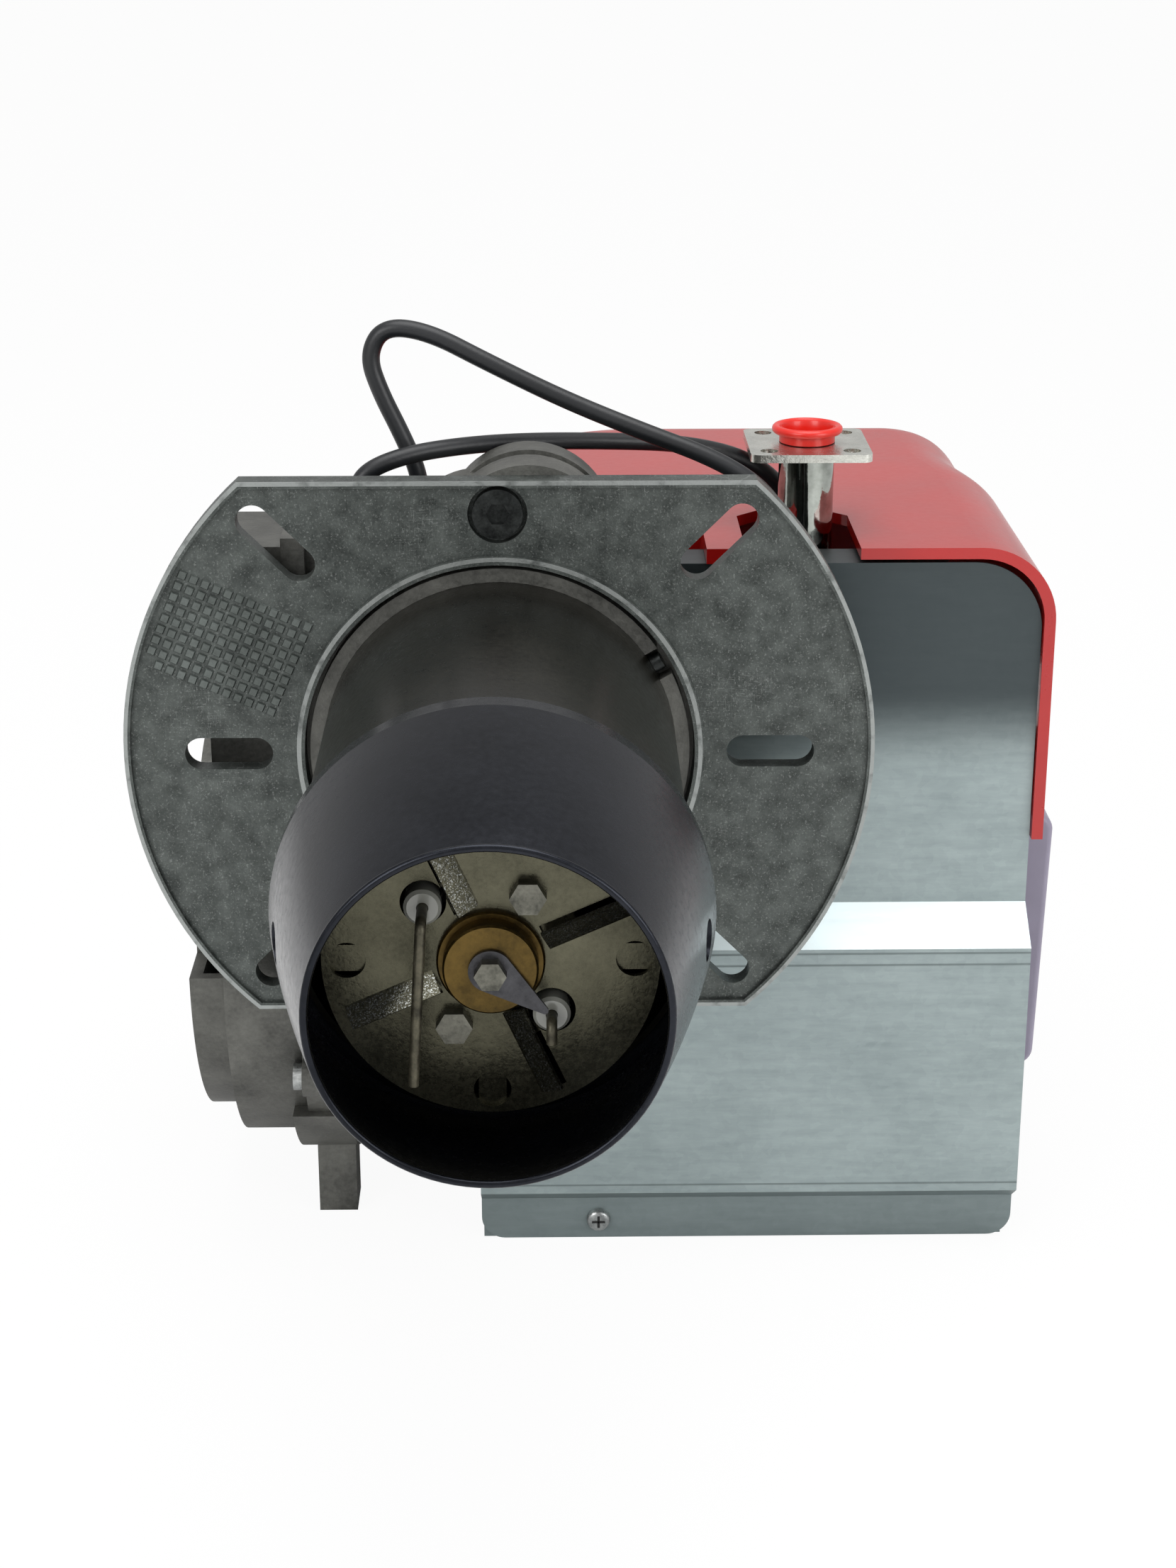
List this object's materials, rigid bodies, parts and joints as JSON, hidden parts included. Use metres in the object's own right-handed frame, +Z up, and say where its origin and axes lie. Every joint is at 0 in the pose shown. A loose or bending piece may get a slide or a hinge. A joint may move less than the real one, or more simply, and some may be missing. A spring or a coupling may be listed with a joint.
{
  "type": "forced-draught gas burner",
  "caption": "Forced-draught gas burner with a slotted mounting flange, blast tube and flame cone, fan casing, capped gas inlet and a pull-off cover.",
  "frame": {"origin": "axis of the blast tube at the boiler side of the mounting flange", "axes": "-Y along the blast tube into the boiler, +Z up, +X to the right seen from the boiler"},
  "size_m": [0.2974, 0.4262, 0.3102],
  "materials": {
    "cast_grey": "die-cast, mottled",
    "tube_dark": "heat-dark satin steel",
    "cone_blue": "tempered satin steel",
    "disc_olive": "heat-tinted stainless",
    "screw_steel": "zinc",
    "screw_dark": "black oxide",
    "brass": "dull brass",
    "spark_grey": "satin steel",
    "ceramic": "glazed ceramic",
    "rod_steel": "heat-dark wire",
    "steel_pipe": "chromed",
    "zinc_plate": "bright zinc",
    "plug_red": "moulded polythene",
    "casting": "die-cast",
    "fan_zinc": "galvanised sheet",
    "motor_paint": "satin paint",
    "black_plastic": "moulded",
    "galvanised": "galvanised",
    "cover_red": "gloss enamel",
    "box_lilac": "moulded, satin",
    "button_red": "moulded",
    "lead_black": "flexible sheath"
  },
  "bodies": {
    "burner": {"mounting_flange": "cast_grey", "flange_screw": "screw_dark", "blast_tube": "tube_dark", "tube_screw": "screw_dark", "flame_cone": "cone_blue", "diffuser_disc": "disc_olive", "head_spider": "disc_olive", "disc_bolts": "screw_steel", "gas_nozzle": "brass", "spark_plate": "spark_grey", "nozzle_bolt": "screw_steel", "gas_lance": "rod_steel", "ionisation_insulator": "ceramic", "ionisation_rod": "rod_steel", "ignition_insulator": "ceramic", "ignition_rod": "rod_steel", "electrode_clamp": "casting", "fan_casing_right": "casting", "fan_casing_left": "casting", "casing_screws": "screw_steel", "motor_body": "motor_paint", "motor_end_cap": "motor_paint", "capacitor": "black_plastic", "intake_plate": "galvanised", "shutter_pivot": "screw_steel", "gas_flange": "zinc_plate", "gas_pipe": "steel_pipe", "gas_manifold": "casting", "manifold_screws": "screw_steel", "front_panel": "galvanised", "base_plate": "galvanised", "panel_screw": "screw_steel", "control_bracket": "galvanised", "control_box_base": "black_plastic", "control_box": "box_lilac", "mains_socket": "black_plastic", "ignition_transformer": "black_plastic", "switch_bracket": "galvanised", "air_pressure_switch": "black_plastic", "switch_gland": "black_plastic", "casing_glands": "black_plastic", "gland_bracket": "galvanised", "panel_gland": "black_plastic", "switch_lead": "lead_black", "loop_lead": "lead_black"},
    "fan": {"fan_wheel": "fan_zinc", "motor_shaft": "screw_steel"},
    "air_shutter": {"air_shutter": "galvanised"},
    "reset_button": {"reset_button": "button_red"},
    "cover": {"cover": "cover_red", "cover_screw": "screw_steel"},
    "transport_plug": {"transport_plug": "plug_red"}
  },
  "joints": [
    {"name": "fan_spin", "type": "hinge", "parent": "burner", "child": "fan", "pos_m": [0, 0.105, -0.085], "axis": [1, 0, 0], "continuous": true},
    {"name": "shutter_turn", "type": "hinge", "parent": "burner", "child": "air_shutter", "pos_m": [0, 0.105, -0.085], "axis": [1, 0, 0], "range_deg": [0, 45]},
    {"name": "reset_press", "type": "slide", "parent": "burner", "child": "reset_button", "axis": [-1, 0, 0], "range_m": [0, 0.0025], "stiffness_N_per_m": 400},
    {"name": "cover_pull", "type": "slide", "parent": "burner", "child": "cover", "axis": [0, 1, 0], "range_m": [0, 0.2]},
    {"name": "plug_pull", "type": "slide", "parent": "burner", "child": "transport_plug", "axis": [0, 0, 1], "range_m": [0, 0.03]}
  ]
}
